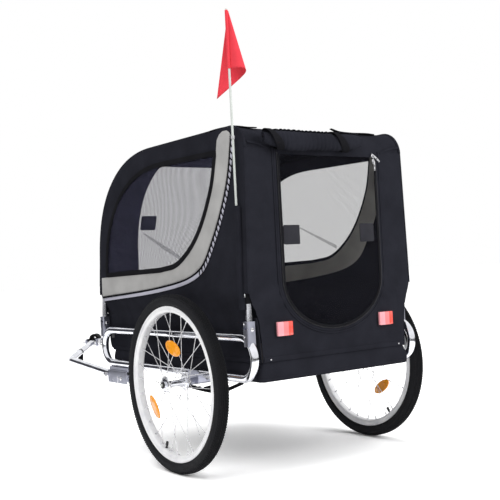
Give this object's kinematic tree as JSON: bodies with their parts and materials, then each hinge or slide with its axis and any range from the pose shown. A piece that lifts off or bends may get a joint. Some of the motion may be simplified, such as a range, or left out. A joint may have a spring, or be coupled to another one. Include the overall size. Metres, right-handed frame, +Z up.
{
  "type": "bicycle trailer",
  "caption": "Two-wheeled trailer towed behind a bicycle: a cloth cabin with net windows on a folding tube frame, with spoked wheels and a bent side tow arm.",
  "frame": {"origin": "on the ground, in the middle of the trailer's bounding box", "axes": "+Y forward, towards the bicycle; +X to the trailer's right; +Z up"},
  "size_m": [0.772, 1.3421, 1.1925],
  "materials": {
    "polished_aluminium": "bright polished tube",
    "zinc_steel": "zinc plated",
    "black_cloth": "coated black polyester weave",
    "grey_cloth": "grey polyester weave",
    "mesh_cloth": "open black net",
    "rubber": "black rubber",
    "board": "dark board",
    "orange_plastic": "orange reflector",
    "red_plastic": "red reflector",
    "red_cloth": "thin red cloth",
    "white_rod": "white",
    "webbing": "black webbing"
  },
  "bodies": {
    "base": {"left_loop": "polished_aluminium", "right_loop": "polished_aluminium", "front_cross_tube": "polished_aluminium", "rear_cross_tube": "polished_aluminium", "axle_tube": "zinc_steel", "left_axle_clamp": "zinc_steel", "right_axle_clamp": "zinc_steel", "rear_left_fold_bracket": "zinc_steel", "rear_right_fold_bracket": "zinc_steel", "front_left_fold_bracket": "zinc_steel", "front_right_fold_bracket": "zinc_steel", "rear_left_fold_pin": "zinc_steel", "rear_right_fold_pin": "zinc_steel", "front_left_fold_pin": "zinc_steel", "front_right_fold_pin": "zinc_steel", "floor_board": "board", "cabin_tub": "black_cloth", "rear_wall": "black_cloth", "roof_and_front_cover": "black_cloth", "front_window_mesh": "mesh_cloth", "left_side_panel": "black_cloth", "right_side_panel": "black_cloth", "left_window_mesh": "mesh_cloth", "right_window_mesh": "mesh_cloth", "left_grey_band": "grey_cloth", "right_grey_band": "grey_cloth", "door_roll": "black_cloth", "left_rear_reflector": "red_plastic", "right_rear_reflector": "red_plastic", "tow_bracket": "zinc_steel", "tow_pivot_bolt": "zinc_steel"},
    "left_frame": {"left_side_frame": "polished_aluminium"},
    "right_frame": {"right_side_frame": "polished_aluminium"},
    "flag": {"flag_pole": "white_rod", "flag": "red_cloth"},
    "rear_door": {"rear_door": "mesh_cloth"},
    "zip_slider": {"zip_slider": "zinc_steel"},
    "left_axle": {"left_axle_pin": "zinc_steel"},
    "left_button": {"left_release_button": "white_rod"},
    "left_wheel": {"left_tyre": "rubber", "left_inner_tube": "rubber", "left_rim": "polished_aluminium", "left_hub_and_spokes": "polished_aluminium", "left_upper_reflector": "orange_plastic", "left_lower_reflector": "orange_plastic"},
    "right_axle": {"right_axle_pin": "zinc_steel"},
    "right_button": {"right_release_button": "white_rod"},
    "right_wheel": {"right_tyre": "rubber", "right_inner_tube": "rubber", "right_rim": "polished_aluminium", "right_hub_and_spokes": "polished_aluminium", "right_upper_reflector": "orange_plastic", "right_lower_reflector": "orange_plastic"},
    "tow_arm": {"tow_arm": "polished_aluminium", "safety_strap": "webbing"},
    "lock_pin": {"lock_pin": "zinc_steel"},
    "pin_bail": {"pin_bail": "zinc_steel"},
    "hitch": {"hitch_yoke": "zinc_steel", "hitch_jaw": "rubber"},
    "clamp_screw": {"hitch_clamp_screw": "zinc_steel"}
  },
  "joints": [
    {"name": "left_frame_fold", "type": "hinge", "parent": "base", "child": "left_frame", "pos_m": [-0.273, -0.3601, 0.3855], "axis": [0, 1, 0], "range_deg": [0, 80], "deforming": ["rear_wall", "roof_and_front_cover", "front_window_mesh", "left_side_panel", "right_side_panel", "left_window_mesh", "right_window_mesh", "left_grey_band", "right_grey_band", "door_roll", "rear_door"]},
    {"name": "right_frame_fold", "type": "hinge", "parent": "base", "child": "right_frame", "pos_m": [0.273, -0.3601, 0.3855], "axis": [0, 1, 0], "range_deg": [-97, 0]},
    {"name": "flag_lift", "type": "slide", "parent": "left_frame", "child": "flag", "axis": [0, 0, 1], "range_m": [0, 0.3]},
    {"name": "rear_door_open", "type": "hinge", "parent": "base", "child": "rear_door", "pos_m": [0, -0.6376, 0.8295], "axis": [-1, 0, 0], "range_deg": [0, 85]},
    {"name": "zip_slide", "type": "slide", "parent": "rear_door", "child": "zip_slider", "axis": [0, 0, -1], "range_m": [0, 0.28]},
    {"name": "left_wheel_release", "type": "slide", "parent": "base", "child": "left_axle", "axis": [-1, 0, 0], "range_m": [0, 0.1]},
    {"name": "left_button_press", "type": "slide", "parent": "left_axle", "child": "left_button", "axis": [1, 0, 0], "range_m": [0, 0.003], "stiffness_N_per_m": 600, "springref_m": -0.001},
    {"name": "left_wheel_spin", "type": "hinge", "parent": "left_axle", "child": "left_wheel", "pos_m": [-0.342, -0.3601, 0.2395], "axis": [1, 0, 0], "continuous": true},
    {"name": "right_wheel_release", "type": "slide", "parent": "base", "child": "right_axle", "axis": [1, 0, 0], "range_m": [0, 0.1]},
    {"name": "right_button_press", "type": "slide", "parent": "right_axle", "child": "right_button", "axis": [-1, 0, 0], "range_m": [0, 0.003], "stiffness_N_per_m": 600, "springref_m": -0.001},
    {"name": "right_wheel_spin", "type": "hinge", "parent": "right_axle", "child": "right_wheel", "pos_m": [0.342, -0.3601, 0.2395], "axis": [1, 0, 0], "continuous": true},
    {"name": "tow_arm_fold", "type": "hinge", "parent": "base", "child": "tow_arm", "pos_m": [-0.273, 0.0599, 0.216], "axis": [1, 0, 0], "range_deg": [-170, 0]},
    {"name": "lock_pin_pull", "type": "slide", "parent": "tow_arm", "child": "lock_pin", "axis": [-1, 0, 0], "range_m": [0, 0.03]},
    {"name": "pin_bail_swing", "type": "hinge", "parent": "lock_pin", "child": "pin_bail", "pos_m": [-0.273, 0.1529, 0.22432], "axis": [1, 0, 0], "continuous": true},
    {"name": "hitch_pitch", "type": "hinge", "parent": "tow_arm", "child": "hitch", "pos_m": [-0.11476, 0.61514, 0.28965], "axis": [0.7071, -0.7071, 0], "range_deg": [-35, 35]},
    {"name": "clamp_screw_turn", "type": "hinge", "parent": "hitch", "child": "clamp_screw", "pos_m": [-0.11476, 0.61514, 0.28965], "axis": [0.7071, -0.7071, 0], "continuous": true}
  ],
  "couplings": [
    {"joint": "right_frame_fold", "follows": "left_frame_fold", "ratio": -1.2125}
  ]
}
